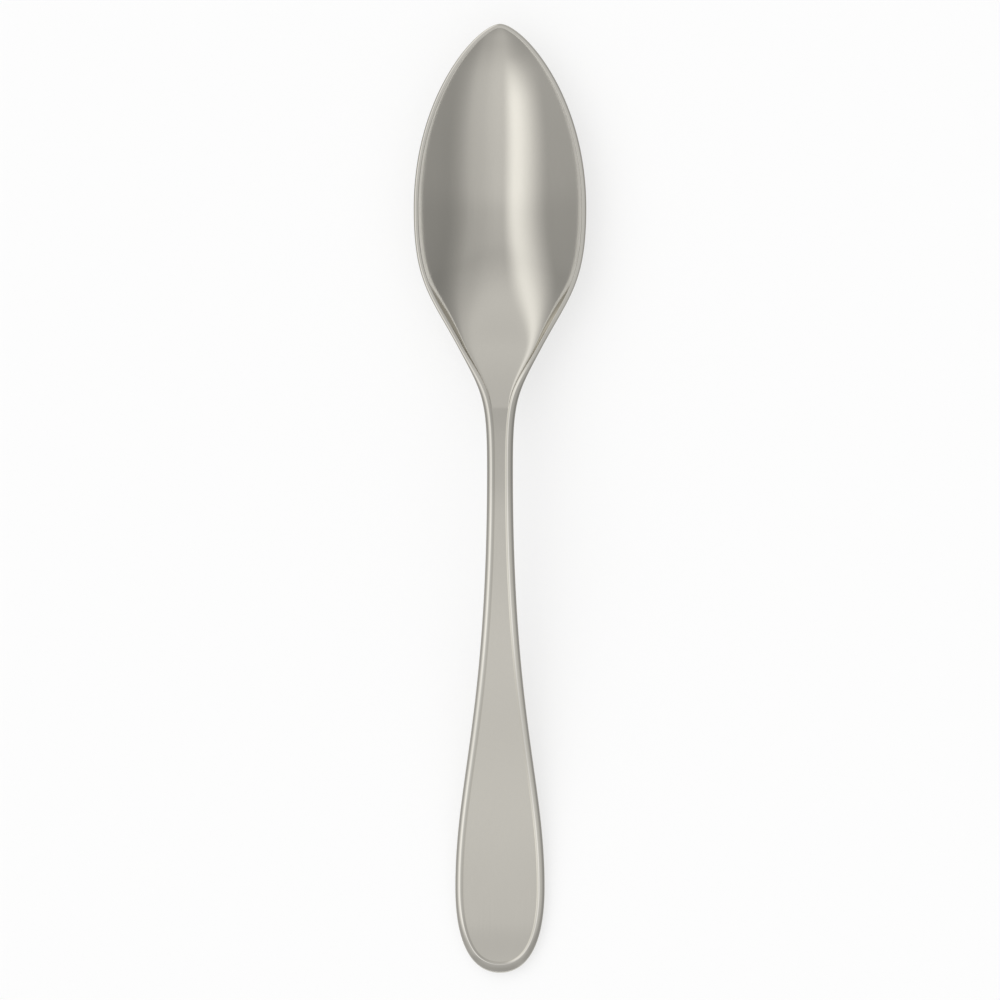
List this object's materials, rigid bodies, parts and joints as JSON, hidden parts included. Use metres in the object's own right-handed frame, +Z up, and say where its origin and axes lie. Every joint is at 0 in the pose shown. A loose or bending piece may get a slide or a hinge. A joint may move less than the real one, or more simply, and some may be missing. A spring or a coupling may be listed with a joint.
{
  "type": "dessert spoon",
  "caption": "Polished steel dessert spoon with a pointed oval bowl, a slim arched neck and a broad round-ended handle with a raised border around a plain panel.",
  "frame": {"origin": "on the table under the middle of the spoon's overall box", "axes": "+Y from the handle's end towards the bowl's tip, +Z up out of the bowl, +X to the right; the YZ plane is the plane of symmetry"},
  "size_m": [0.0334, 0.184, 0.0165],
  "materials": {
    "steel": "polished"
  },
  "bodies": {
    "root": {"spoon": "steel"}
  },
  "joints": []
}
